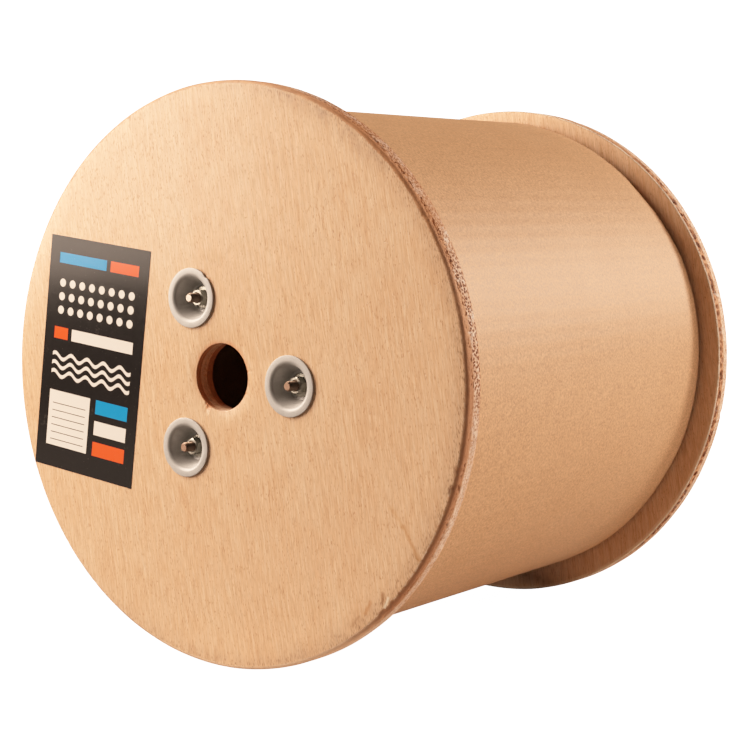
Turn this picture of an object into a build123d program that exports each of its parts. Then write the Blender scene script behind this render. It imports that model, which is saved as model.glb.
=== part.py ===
# Wooden cable drum: two round plywood flanges on a paper tube, drawn together by three tie rods
# in pressed cup washers, full of cable, and closed with a lapped wrap of corrugated board.
# Sizes are in millimetres. X points right, Y runs along the drum's axis from the front flange to
# the rear one, and Z points up. The origin is the middle of the drum, which lies on its two rims.
from build123d import *
from math import cos, degrees, radians, sin, tan, atan2
import os

os.makedirs("parts", exist_ok=True)

# Flanges
flange_d = 304.8
flange_thick = 12.7
traverse = 254.0  # clear width between the two flanges
arbor_hole_d = 35.0
rim_ease = 2.0  # bevel that takes the sharpness off the rim's two edges

# Tie rods, placed on a circle round the arbor hole
rod_count = 3
rod_first_angle = -3.2
rod_circle_d = 91.0
rod_d = 5.0
rod_chamfer = 0.6
rod_proud = 1.2  # how far a rod's end stands past the rim of its cup

# Nuts and the plain washers under them
nut_across_flats = 8.0
nut_height = 4.5
nut_chamfer_angle = 30.0
nut_chamfer_start = 0.2  # how far the chamfer's circle lies inside the flats
nut_bore_clearance = 0.1
nut_turns = [14.0, 31.0, 4.0]  # how each nut happened to end up turned, front and rear alike
washer_d = 12.0
washer_thick = 1.0
washer_bore_clearance = 0.15

# Cup washers, pressed from sheet: a flat rim, a rounded shoulder, a tapered bowl and a flat floor
cup_gauge = 1.2
cup_depth = 10.5  # from the top of the rim to the floor
cup_floor_margin = 1.6  # floor corner outside the plain washer
cup_flare = 3.8  # how much wider the mouth is than the floor, on each side
cup_shoulder_bend = 1.2  # bend radius on the underside
cup_bend_steps = 2  # straight steps that make up the shoulder's bend
cup_rim_land = 2.6  # flat of the rim outside the shoulder
cup_bore_clearance = 0.25
cup_hole_clearance = 0.2  # between the shoulder and its hole in the flange

# Barrel, a wound paper tube let into a groove in each flange
barrel_wall = 4.0
barrel_land = 1.8  # plywood left between the groove and the cup holes
groove_depth = 4.0
groove_clearance = 0.15

# Winding and wrap
winding_clearance = 0.25
rim_stand = 11.1  # how far the flanges stand past the wrap
board_thick = 4.0
board_side_clearance = 1.5  # between the board's edges and the flanges
lap_gap = 0.3
lap_length = 42.0
lap_angle = 205.0  # where the board's inner end lies, and its outer layer passes over it
rise_angle = 60.0  # turn over which the board climbs onto its own start

# Label, stuck on the front flange and trimmed where the rim rounds off
label_width = 75.7
label_height = 129.5
label_thick = 0.2
label_x = -95.0
label_z = 5.3
label_turn = -7.3

# Places that follow from the sizes
flange_r = flange_d / 2
half_width = traverse / 2 + flange_thick
front_face = Plane.XZ.offset(half_width)
rod_angles = [rod_first_angle + turn * 360 / rod_count for turn in range(rod_count)]

# Cup profile, measured from the rod's axis and from the flange's outer face
cup_rim_level = cup_gauge
cup_floor_level = cup_rim_level - cup_depth
cup_floor_r = washer_d / 2 + cup_floor_margin
cup_mouth_r = cup_floor_r + cup_flare
cup_wall_turn = atan2(cup_depth, cup_flare)
cup_shoulder_r = cup_shoulder_bend + cup_gauge
cup_shoulder_start = cup_mouth_r + cup_shoulder_r * tan(cup_wall_turn / 2)
cup_rim_r = cup_shoulder_start + cup_rim_land
cup_hole_r = cup_shoulder_start + cup_hole_clearance

# The barrel goes round the cup holes, and the wrap lies inside the rims
barrel_inner_r = rod_circle_d / 2 + cup_hole_r + barrel_land
barrel_r = barrel_inner_r + barrel_wall
wrap_r = flange_r - rim_stand
wrap_inner_r = wrap_r - board_thick


def save(piece, name):
    piece.part.label = name
    export_step(piece.part, f"parts/{name}.step")


# Plane on a flange's outer face at a rod: x points away from the drum's axis, z out of the drum
def rod_seat(angle, outward):
    away = Vector(cos(radians(angle)), 0, sin(radians(angle)))
    middle = away * (rod_circle_d / 2) + Vector(0, outward * half_width, 0)
    return Plane(origin=middle, x_dir=away, z_dir=(0, outward, 0))


# Plane through a rod's axis, for turned profiles: x is the radius, y the height off the flange
def turning_plane(seat):
    return Plane(origin=seat.origin, x_dir=seat.x_dir, z_dir=-seat.y_dir)


# Front flange: disc with arbor hole, cup holes, a groove for the barrel and an eased rim
with BuildPart() as front_flange:
    with BuildSketch(front_face):
        Circle(flange_r)
        Circle(arbor_hole_d / 2, mode=Mode.SUBTRACT)
        with PolarLocations(rod_circle_d / 2, rod_count, start_angle=rod_first_angle):
            Circle(cup_hole_r, mode=Mode.SUBTRACT)
    extrude(amount=-flange_thick)
    with BuildSketch(front_face.offset(-flange_thick)):
        Circle(barrel_r + groove_clearance)
        Circle(barrel_inner_r - groove_clearance, mode=Mode.SUBTRACT)
    extrude(amount=groove_depth, mode=Mode.SUBTRACT)
    rim_edges = front_flange.edges().filter_by(GeomType.CIRCLE).group_by(SortBy.RADIUS)[-1]
    chamfer(rim_edges, length=rim_ease)
save(front_flange, "front_flange")

# Rear flange: the same disc, turned to face the other way
with BuildPart() as rear_flange:
    mirror(front_flange.part, about=Plane.XZ)
save(rear_flange, "rear_flange")

# Barrel: the tube between the floors of the two grooves
with BuildPart() as barrel:
    with BuildSketch(Plane.XZ):
        Circle(barrel_r)
        Circle(barrel_inner_r, mode=Mode.SUBTRACT)
    extrude(amount=traverse / 2 + groove_depth, both=True)
save(barrel, "barrel")

# Cable winding: one turned body that fills the drum between the barrel and the wrap
with BuildPart() as cable_winding:
    with BuildSketch(Plane.XZ):
        Circle(wrap_inner_r - winding_clearance)
        Circle(barrel_r + winding_clearance, mode=Mode.SUBTRACT)
    extrude(amount=traverse / 2 - winding_clearance, both=True)
save(cable_winding, "cable_winding")


# One face of the wrap's board: round the winding, up over its own start, and on along the lap.
# The rise is two tangent arcs, whose centres lie equally far from the drum's axis.
def board_face(radius):
    rise = board_thick + lap_gap
    shift = rise / (1 - cos(radians(rise_angle / 2))) / 2
    rise_start = lap_angle - rise_angle
    low_centre = Vector(cos(radians(rise_start)), sin(radians(rise_start))) * -shift
    high_centre = Vector(cos(radians(lap_angle)), sin(radians(lap_angle))) * shift
    lap_turn = degrees(lap_length / (wrap_r + rise))
    CenterArc((0, 0), radius, lap_angle, 360 - rise_angle)
    CenterArc(low_centre, radius + shift, rise_start, rise_angle / 2)
    CenterArc(high_centre, radius + rise - shift, rise_start + rise_angle / 2, rise_angle / 2)
    return CenterArc((0, 0), radius + rise, lap_angle, lap_turn)


# Point at an angle round the drum, in the plane of its section
def round_point(radius, angle):
    return Vector(cos(radians(angle)), sin(radians(angle))) * radius


# Wrap: one sheet of corrugated board, bent round the winding and lapped
with BuildPart() as wrap:
    with BuildSketch(Plane.XZ):
        with BuildLine():
            inner_lap = board_face(wrap_inner_r)
            outer_lap = board_face(wrap_r)
            Line(round_point(wrap_inner_r, lap_angle), round_point(wrap_r, lap_angle))
            Line(inner_lap @ 1, outer_lap @ 1)
        make_face()
    extrude(amount=traverse / 2 - board_side_clearance, both=True)
save(wrap, "wrap")


# Points of a cup's shoulder, where the sheet bends from the rim into the bowl, on either face
def shoulder_points(radius):
    centre = Vector(cup_shoulder_start, cup_rim_level - cup_shoulder_r)
    bends = [cup_wall_turn * step / cup_bend_steps for step in range(cup_bend_steps + 1)]
    return [centre + Vector(-sin(bend), cos(bend)) * radius for bend in bends]


# Cup washer: the section of the pressed sheet, upper face then underside, turned round the rod
def make_cup_washer(seat, name):
    cup_bore_r = rod_d / 2 + cup_bore_clearance
    under_floor_r = cup_floor_r + cup_gauge * tan(cup_wall_turn / 2)
    with BuildPart() as cup_washer:
        with BuildSketch(turning_plane(seat)):
            with BuildLine():
                Polyline(
                    (cup_rim_r, cup_rim_level),
                    *shoulder_points(cup_shoulder_r),
                    (cup_floor_r, cup_floor_level),
                    (cup_bore_r, cup_floor_level),
                    (cup_bore_r, cup_floor_level - cup_gauge),
                    (under_floor_r, cup_floor_level - cup_gauge),
                    *reversed(shoulder_points(cup_shoulder_bend)),
                    (cup_rim_r, 0),
                    close=True,
                )
            make_face()
        revolve(axis=Axis(seat.origin, seat.z_dir))
    save(cup_washer, name)


# Plain washer on the floor of a cup
def make_plain_washer(seat, name):
    with BuildPart() as plain_washer:
        with BuildSketch(seat.offset(cup_floor_level)):
            Circle(washer_d / 2)
            Circle(rod_d / 2 + washer_bore_clearance, mode=Mode.SUBTRACT)
        extrude(amount=washer_thick)
    save(plain_washer, name)


# Hex nut on its washer: a hexagon prism with its corners turned down at the outer end
def make_nut(seat, turn, name):
    nut_level = cup_floor_level + washer_thick
    corner_r = nut_across_flats / 2 / cos(radians(180 / 6))
    chamfer_r = nut_across_flats / 2 - nut_chamfer_start
    chamfer_drop = (corner_r - chamfer_r) * tan(radians(nut_chamfer_angle))
    with BuildPart() as nut:
        with BuildSketch(seat.offset(nut_level)):
            RegularPolygon(corner_r, 6, rotation=turn)
            Circle(rod_d / 2 + nut_bore_clearance, mode=Mode.SUBTRACT)
        extrude(amount=nut_height)
        with BuildSketch(turning_plane(seat)):
            with BuildLine():
                Polyline(
                    (0, nut_level),
                    (corner_r, nut_level),
                    (corner_r, nut_level + nut_height - chamfer_drop),
                    (chamfer_r, nut_level + nut_height),
                    (0, nut_level + nut_height),
                    close=True,
                )
            make_face()
        revolve(axis=Axis(seat.origin, seat.z_dir), mode=Mode.INTERSECT)
    save(nut, name)


# Tie rod, from past one cup's rim to past the other's
def make_tie_rod(angle, name):
    with BuildPart() as tie_rod:
        with BuildSketch(Plane.XZ):
            with Locations(round_point(rod_circle_d / 2, angle)):
                Circle(rod_d / 2)
        extrude(amount=half_width + cup_rim_level + rod_proud, both=True)
        chamfer(tie_rod.edges().filter_by(GeomType.CIRCLE), length=rod_chamfer)
    save(tie_rod, name)


# The rods, each with a cup, a plain washer and a nut at both ends
for number, angle in enumerate(rod_angles, start=1):
    make_tie_rod(angle, f"tie_rod_{number}")
    for end, outward in [("front", -1), ("rear", 1)]:
        seat = rod_seat(angle, outward)
        make_cup_washer(seat, f"{end}_cup_washer_{number}")
        make_plain_washer(seat, f"{end}_plain_washer_{number}")
        make_nut(seat, nut_turns[number - 1], f"{end}_nut_{number}")

# Label: a thin rectangle on the front face, cut to the flat of the flange
with BuildPart() as label:
    with BuildSketch(front_face):
        with Locations((label_x, label_z)):
            Rectangle(label_width, label_height, rotation=label_turn)
        Circle(flange_r - rim_ease, mode=Mode.INTERSECT)
    extrude(amount=label_thick)
save(label, "label")
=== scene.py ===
import bmesh
import bpy
from math import atan2, cos, floor, hypot, pi, radians, sin, tan
from mathutils import Matrix, Vector, noise


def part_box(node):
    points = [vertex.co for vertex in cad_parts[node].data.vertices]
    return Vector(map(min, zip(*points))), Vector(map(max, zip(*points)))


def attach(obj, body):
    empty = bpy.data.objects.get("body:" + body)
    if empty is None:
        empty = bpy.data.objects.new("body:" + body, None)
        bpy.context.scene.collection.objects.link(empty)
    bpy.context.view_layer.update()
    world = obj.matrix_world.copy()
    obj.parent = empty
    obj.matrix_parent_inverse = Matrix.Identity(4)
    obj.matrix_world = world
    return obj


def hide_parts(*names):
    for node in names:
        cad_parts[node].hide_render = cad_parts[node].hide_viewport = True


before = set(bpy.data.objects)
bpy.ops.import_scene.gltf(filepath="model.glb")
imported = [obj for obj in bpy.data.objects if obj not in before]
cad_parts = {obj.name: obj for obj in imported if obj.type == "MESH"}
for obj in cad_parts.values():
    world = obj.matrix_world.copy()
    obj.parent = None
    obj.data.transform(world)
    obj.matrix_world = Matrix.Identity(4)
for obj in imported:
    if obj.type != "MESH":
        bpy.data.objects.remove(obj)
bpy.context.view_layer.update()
mm = 0.001
scene = bpy.context.scene

flangeLow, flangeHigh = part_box("front_flange")
rimRadius = flangeHigh.x
outerFace = -flangeLow.y  # distance of either outer face from the drum's middle
innerFace = -flangeHigh.y
boardThick = outerFace - innerFace
print("frame loaded:", len(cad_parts), "nodes")


# mesh helpers

def startClean():
    if bpy.context.object and bpy.context.object.mode != "OBJECT":
        bpy.ops.object.mode_set(mode="OBJECT")
    bpy.ops.object.select_all(action="DESELECT")


def makeActive(obj):
    startClean()
    obj.select_set(True)
    bpy.context.view_layer.objects.active = obj


def applyModifier(obj, kind, **values):
    makeActive(obj)
    modifier = obj.modifiers.new(kind.lower(), kind)
    for name, value in values.items():
        setattr(modifier, name, value)
    bpy.ops.object.modifier_apply(modifier=modifier.name)


def cutWith(obj, tool, operation="DIFFERENCE"):
    applyModifier(obj, "BOOLEAN", operation=operation, solver="EXACT", object=tool)
    bpy.data.objects.remove(tool)


def smoothOver(obj, angle):
    makeActive(obj)
    bpy.ops.object.shade_smooth_by_angle(angle=radians(angle))


# rings of (radius, height) pulled up one after another round the Y axis, height towards -Y
def turnRings(name, segments, rings):
    startClean()
    radius, height = rings[0]
    bpy.ops.mesh.primitive_circle_add(vertices=segments, radius=radius, location=(0, -height, 0),
                                      rotation=(radians(90), 0, 0))
    obj = bpy.context.object
    obj.name = name
    bpy.ops.object.transform_apply(location=True, rotation=True, scale=True)
    bpy.ops.object.mode_set(mode="EDIT")
    bpy.ops.mesh.select_mode(type="EDGE")
    bpy.ops.mesh.select_all(action="SELECT")
    for nextRadius, nextHeight in rings[1:]:
        grow = nextRadius / radius
        bpy.ops.mesh.extrude_edges_move(TRANSFORM_OT_translate={"value": (0, height - nextHeight, 0)})
        bpy.ops.transform.resize(value=(grow, 1, grow), center_override=(0, -nextHeight, 0))
        radius, height = nextRadius, nextHeight
    bpy.ops.mesh.select_all(action="DESELECT")
    bpy.ops.mesh.select_non_manifold()
    bpy.ops.mesh.bridge_edge_loops()
    bpy.ops.mesh.select_all(action="SELECT")
    bpy.ops.mesh.normals_make_consistent(inside=False)
    bpy.ops.object.mode_set(mode="OBJECT")
    return obj


# points of a rounded corner, angles in degrees from the radius direction
def roundCorner(centreRadius, centreHeight, size, startAngle, endAngle, steps):
    points = []
    for step in range(steps + 1):
        angle = radians(startAngle + (endAngle - startAngle) * step / steps)
        points.append((centreRadius + size * cos(angle), centreHeight + size * sin(angle)))
    return points


def turnTo(angle, degrees):  # how far an angle is from one given in degrees, either way round
    return abs((angle - radians(degrees) + pi) % (2 * pi) - pi)


def copyTo(master, name, place, halfTurn=False, roll=0.0):
    obj = master.copy()
    obj.data = master.data.copy()
    obj.name = name
    obj.data.name = name
    scene.collection.objects.link(obj)
    turn = Matrix.Rotation(pi if halfTurn else 0, 4, "Z") @ Matrix.Rotation(roll, 4, "Y")
    obj.matrix_world = Matrix.Translation(place) @ turn
    makeActive(obj)
    bpy.ops.object.transform_apply(location=True, rotation=True, scale=True)
    return obj


def finishPiece(obj, material, nodeName):
    obj.data.materials.clear()
    obj.data.materials.append(material)
    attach(obj, "root")
    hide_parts(nodeName)


# node helpers

drawing = {"tree": None}  # the node tree that nodes are added to


def feed(socket, value):
    if isinstance(value, bpy.types.NodeSocket):
        drawing["tree"].links.new(value, socket)
    elif value is not None:
        socket.default_value = value


def addNode(kind, inputs=None, **values):
    node = drawing["tree"].nodes.new("ShaderNode" + kind)
    for name, value in values.items():
        setattr(node, name, value)
    for name, value in (inputs or {}).items():
        feed(node.inputs[name], value)
    return node


def calc(operation, first, second=None, clamp=False):
    return addNode("Math", {0: first, 1: second}, operation=operation, use_clamp=clamp).outputs[0]


def times(first, *others):
    for other in others:
        first = calc("MULTIPLY", first, other)
    return first


def plus(first, second):
    return calc("ADD", first, second)


def minus(first, second):
    return calc("SUBTRACT", first, second)


def outsideOf(mask):
    return minus(1.0, mask)


def fromMiddle(across, up):  # distance from the origin of a flat pair
    return calc("SQRT", plus(calc("POWER", across, 2.0), calc("POWER", up, 2.0)))


def vectorCalc(operation, first, second):
    return addNode("VectorMath", {0: first, 1: second}, operation=operation).outputs[0]


def vectorValue(operation, first, second=None):
    return addNode("VectorMath", {0: first, 1: second}, operation=operation).outputs["Value"]


def axesOf(vector):
    return addNode("SeparateXYZ", {"Vector": vector}).outputs


def mixColour(factor, first, second, blend="MIX"):
    node = addNode("Mix", data_type="RGBA", blend_type=blend)
    feed(node.inputs[0], factor)
    for number, colour in ((6, first), (7, second)):
        feed(node.inputs[number], (*colour, 1.0) if isinstance(colour, tuple) else colour)
    return node.outputs[2]


def shadeBy(colour, factor):
    return mixColour(1.0, colour, factor, "MULTIPLY")


def noiseAt(vector, scale, detail=2.0, roughness=0.5):
    inputs = {"Vector": vector, "Scale": scale, "Detail": detail, "Roughness": roughness}
    return addNode("TexNoise", inputs).outputs["Fac"]


def drawnNoise(vector, stretch, detail=2.0, roughness=0.5):
    return noiseAt(vectorCalc("MULTIPLY", vector, stretch), 1.0, detail, roughness)


def span(value, low, high, outLow=0.0, outHigh=1.0):
    inputs = {"Value": value, "From Min": low, "From Max": high, "To Min": outLow, "To Max": outHigh}
    return addNode("MapRange", inputs, clamp=True).outputs[0]


def fade(mask, without, within):  # one value outside a mask, another inside it
    return span(mask, 0.0, 1.0, without, within)


def colourRamp(value, stops):
    node = addNode("ValToRGB", {"Fac": value})
    elements = node.color_ramp.elements
    while len(elements) < len(stops):
        elements.new(1.0)
    for element, (place, colour) in zip(elements, stops):
        element.position = place
        element.color = (*colour, 1.0)
    return node.outputs["Color"]


def between(angle, rise, full, hold, fall):  # 1 from full to hold, 0 outside, all in degrees
    up = span(angle, radians(rise), radians(full))
    return times(up, span(angle, radians(hold), radians(fall), 1.0, 0.0))


def newGroup(name, inputs, outputs):
    tree = bpy.data.node_groups.new(name, "ShaderNodeTree")
    drawing["tree"] = tree
    for label, kind, default in inputs:
        socket = tree.interface.new_socket(name=label, in_out="INPUT", socket_type="NodeSocket" + kind)
        if default is not None:
            socket.default_value = default
    for label, kind in outputs:
        tree.interface.new_socket(name=label, in_out="OUTPUT", socket_type="NodeSocket" + kind)
    return tree, tree.nodes.new("NodeGroupInput").outputs, tree.nodes.new("NodeGroupOutput").inputs


def useGroup(group, **inputs):
    node = addNode("Group", node_tree=group)
    for name, value in inputs.items():
        feed(node.inputs[name], value)
    return node.outputs


def newMaterial(name):
    material = bpy.data.materials.new(name)
    material.use_nodes = True
    drawing["tree"] = material.node_tree
    shader = material.node_tree.nodes["Principled BSDF"]
    return material, shader, addNode("TexCoord").outputs["Object"]


def finishShader(shader, colour, roughness, specular=None, metallic=None):
    feed(shader.inputs["Base Color"], colour)
    feed(shader.inputs["Roughness"], roughness)
    feed(shader.inputs["Specular IOR Level"], specular)
    feed(shader.inputs["Metallic"], metallic)


def bumpInto(shader, height, distance, strength):
    node = addNode("Bump", {"Height": height, "Distance": distance, "Strength": strength})
    feed(shader.inputs["Normal"], node.outputs["Normal"])


# shared effects

def makeGrainGroup():  # short streaks, finer fibres and raw dashes, all running along Z
    tree, given, out = newGroup(
        "woodGrain",
        [("Vector", "Vector", None), ("Across", "Float", 620.0), ("Along", "Float", 60.0),
         ("Wander", "Float", 0.003)],
        [("Streak", "Float"), ("Fibre", "Float"), ("Dash", "Float")])
    drift = addNode("TexNoise", {"Vector": given["Vector"], "Scale": 14.0, "Detail": 2.0})
    drift = vectorCalc("SUBTRACT", drift.outputs["Color"], (0.5, 0.5, 0.5))
    shift = addNode("VectorMath", {0: drift, "Scale": given["Wander"]}, operation="SCALE")
    bent = vectorCalc("ADD", given["Vector"], shift.outputs[0])
    stretch = addNode("CombineXYZ", {"X": given["Across"], "Y": given["Across"], "Z": given["Along"]})
    drawn = vectorCalc("MULTIPLY", bent, stretch.outputs[0])
    feed(out["Streak"], noiseAt(drawn, 1.0, 2.0, 0.55))
    feed(out["Fibre"], drawnNoise(drawn, (2.2, 2.2, 2.6), 1.0))
    feed(out["Dash"], drawnNoise(drawn, (2.0, 2.0, 7.0), 0.0))
    return tree


def makeScuffGroup():  # worn patches with broken edges
    tree, given, out = newGroup(
        "scuffs",
        [("Vector", "Vector", None), ("Scale", "Float", 60.0), ("Cover", "Float", 0.4)],
        [("Mask", "Float"), ("Fine", "Float")])
    broad = noiseAt(given["Vector"], given["Scale"], 3.0, 0.6)
    fine = noiseAt(given["Vector"], times(given["Scale"], 9.0), 3.0, 0.65)
    both = plus(times(broad, 0.65), times(fine, 0.35))
    edge = minus(0.78, times(given["Cover"], 0.5))
    ahead = minus(both, edge)
    feed(out["Mask"], calc("MULTIPLY", ahead, 14.0, clamp=True))
    feed(out["Fine"], fine)
    return tree


def makeFibreGroup():  # pulp of brown paper: fine tooth, light and dark flecks, cloudy formation
    tree, given, out = newGroup(
        "paperFibre",
        [("Vector", "Vector", None), ("Scale", "Float", 900.0)],
        [("Tooth", "Float"), ("Fleck", "Float"), ("Cloud", "Float")])
    feed(out["Tooth"], noiseAt(given["Vector"], given["Scale"], 3.0, 0.7))
    drawn = vectorCalc("MULTIPLY", given["Vector"], (1.0, 0.28, 1.0))
    fleck = noiseAt(drawn, times(given["Scale"], 0.8), 1.0)
    feed(out["Fleck"], span(fleck, 0.66, 0.74))
    feed(out["Cloud"], noiseAt(given["Vector"], times(given["Scale"], 0.045), 3.0))
    return tree


def makeMarkGroup():  # soft mark along a line from one place to another
    tree, given, out = newGroup(
        "mark",
        [("Vector", "Vector", None), ("Start", "Vector", None), ("End", "Vector", None),
         ("Width", "Float", 0.002)],
        [("Mask", "Float")])
    run = vectorCalc("SUBTRACT", given["End"], given["Start"])
    here = vectorCalc("SUBTRACT", given["Vector"], given["Start"])
    ahead = vectorValue("DOT_PRODUCT", here, run)
    whole = vectorValue("DOT_PRODUCT", run, run)
    part = calc("DIVIDE", ahead, plus(whole, 1e-9), clamp=True)
    nearest = addNode("VectorMath", {0: run, "Scale": part}, operation="SCALE").outputs[0]
    away = calc("DIVIDE", vectorValue("DISTANCE", here, nearest), given["Width"])
    feed(out["Mask"], calc("SUBTRACT", 1.0, away, clamp=True))
    return tree


def makeBoxGroup():  # plain printed block, in the label's own map
    tree, given, out = newGroup(
        "printBlock",
        [("U", "Float", 0.0), ("V", "Float", 0.0), ("Left", "Float", 0.0), ("Right", "Float", 1.0),
         ("Bottom", "Float", 0.0), ("Top", "Float", 1.0)],
        [("Mask", "Float")])
    overLeft = calc("GREATER_THAN", given["U"], given["Left"])
    underRight = calc("LESS_THAN", given["U"], given["Right"])
    overBottom = calc("GREATER_THAN", given["V"], given["Bottom"])
    underTop = calc("LESS_THAN", given["V"], given["Top"])
    feed(out["Mask"], times(overLeft, underRight, overBottom, underTop))
    return tree


grainGroup = makeGrainGroup()
scuffGroup = makeScuffGroup()
fibreGroup = makeFibreGroup()
markGroup = makeMarkGroup()
boxGroup = makeBoxGroup()
print("shared shader groups ready")


# stage

stageLook = {
    "floorSize": 90.0,
    "floorColour": (0.13, 0.13, 0.128),
    "cardColour": (0.62, 0.565, 0.51),  # a paler stretch on the right throws light up at the wrap
    "shadeAt": (-0.015, 0.105, -0.1524),  # dark under the rear flange
    "shadeReach": (0.03, 0.11),
    "floorGlow": (1.8, 2.2),  # seen by the camera only, close to the drum and far off
    "cameraPlace": (0.60449, -0.82353, 0.06813),
    "cameraAim": (-0.59319, 0.80170, -0.07350),
    "lens": 84.676,
    "worldLight": 0.04,
    "warmth": (1.0, 0.76, 0.60),  # tint of all the light
    "lights": [  # name, place, aim, width, height, watts
        ("keySoftbox", (-0.95, -0.74, 0.57), (0, -0.1, 0.02), 0.8, 1.2, 53.0),
        ("sideSoftbox", (1.7, 2.2, 1.2), (0, 0.05, 0.0), 0.6, 1.4, 114.0),
        ("lowFill", (1.8, 0.6, 0.2), (0, 0.1, 0.0), 1.2, 0.7, 13.5),
    ],
    "filmWhite": 1.8,  # light that comes out as white, and the film's shoulder below it
    "filmCurve": [(0.222, 0.40), (0.385, 0.617), (0.472, 0.708), (0.578, 0.80), (0.778, 0.925)],
}


def makeStage(look):
    startClean()
    bpy.ops.mesh.primitive_plane_add(size=look["floorSize"], location=(0, 0, -rimRadius))
    ground = bpy.context.object
    ground.name = "floor"
    bpy.ops.object.transform_apply(location=True, rotation=True, scale=True)
    material, shader, place = newMaterial("paleFloor")
    tone = span(noiseAt(place, 40.0, 3.0), 0.3, 0.7, 0.985, 1.0)
    axes = axesOf(place)
    pool = vectorValue("LENGTH", vectorCalc("SUBTRACT", place, look["shadeAt"]))
    pool = span(pool, *look["shadeReach"])
    card = times(span(axes["X"], -0.14, 0.0), span(axes["Y"], -0.2, -0.13), pool)
    paint = mixColour(card, look["floorColour"], look["cardColour"])
    paint = shadeBy(paint, times(tone, span(pool, 0.0, 0.6, 0.1, 1.0)))
    finishShader(shader, paint, 0.6, specular=0.2)
    strength = span(vectorValue("LENGTH", place), 0.3, 1.6, *look["floorGlow"])
    glow = addNode("Emission", {"Color": (1, 1, 1, 1), "Strength": strength})
    both = addNode("AddShader", {0: shader.outputs[0], 1: glow.outputs[0]})
    seen = addNode("LightPath").outputs["Is Camera Ray"]
    pick = addNode("MixShader", {0: seen, 1: shader.outputs[0], 2: both.outputs[0]})
    feed(material.node_tree.nodes["Material Output"].inputs["Surface"], pick.outputs[0])
    ground.data.materials.append(material)

    for name, place, aim, width, height, watts in look["lights"]:
        lamp = bpy.data.lights.new(name, "AREA")
        lamp.shape = "RECTANGLE"
        lamp.size = width
        lamp.size_y = height
        lamp.energy = watts
        lamp.color = look["warmth"]
        holder = bpy.data.objects.new(name, lamp)
        scene.collection.objects.link(holder)
        holder.location = place
        holder.rotation_euler = (Vector(aim) - Vector(place)).to_track_quat("-Z", "Y").to_euler()

    world = bpy.data.worlds.new("studio")
    scene.world = world
    world.use_nodes = True
    drawing["tree"] = world.node_tree
    background = world.node_tree.nodes["Background"]
    seen = addNode("LightPath").outputs["Is Camera Ray"]
    feed(background.inputs["Color"], mixColour(seen, look["warmth"], (1.0, 1.0, 1.0)))
    feed(background.inputs["Strength"], fade(seen, look["worldLight"], look["floorGlow"][1]))

    eye = bpy.data.cameras.new("photoCamera")
    eye.lens = look["lens"]
    eye.sensor_width = 36.0
    eye.clip_start = 0.01
    camera = bpy.data.objects.new("photoCamera", eye)
    scene.collection.objects.link(camera)
    camera.location = look["cameraPlace"]
    camera.rotation_euler = Vector(look["cameraAim"]).to_track_quat("-Z", "Y").to_euler()
    scene.camera = camera
    film = scene.view_settings
    film.view_transform = "Standard"
    film.look = "None"
    film.use_curve_mapping = True
    film.curve_mapping.white_level = (look["filmWhite"],) * 3
    for place, value in look["filmCurve"]:
        film.curve_mapping.curves[3].points.new(place, value)
    film.curve_mapping.update()
    print("stage ready: floor, lights, camera")


makeStage(stageLook)


# flanges: plywood discs with rounded, worn rims

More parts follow.
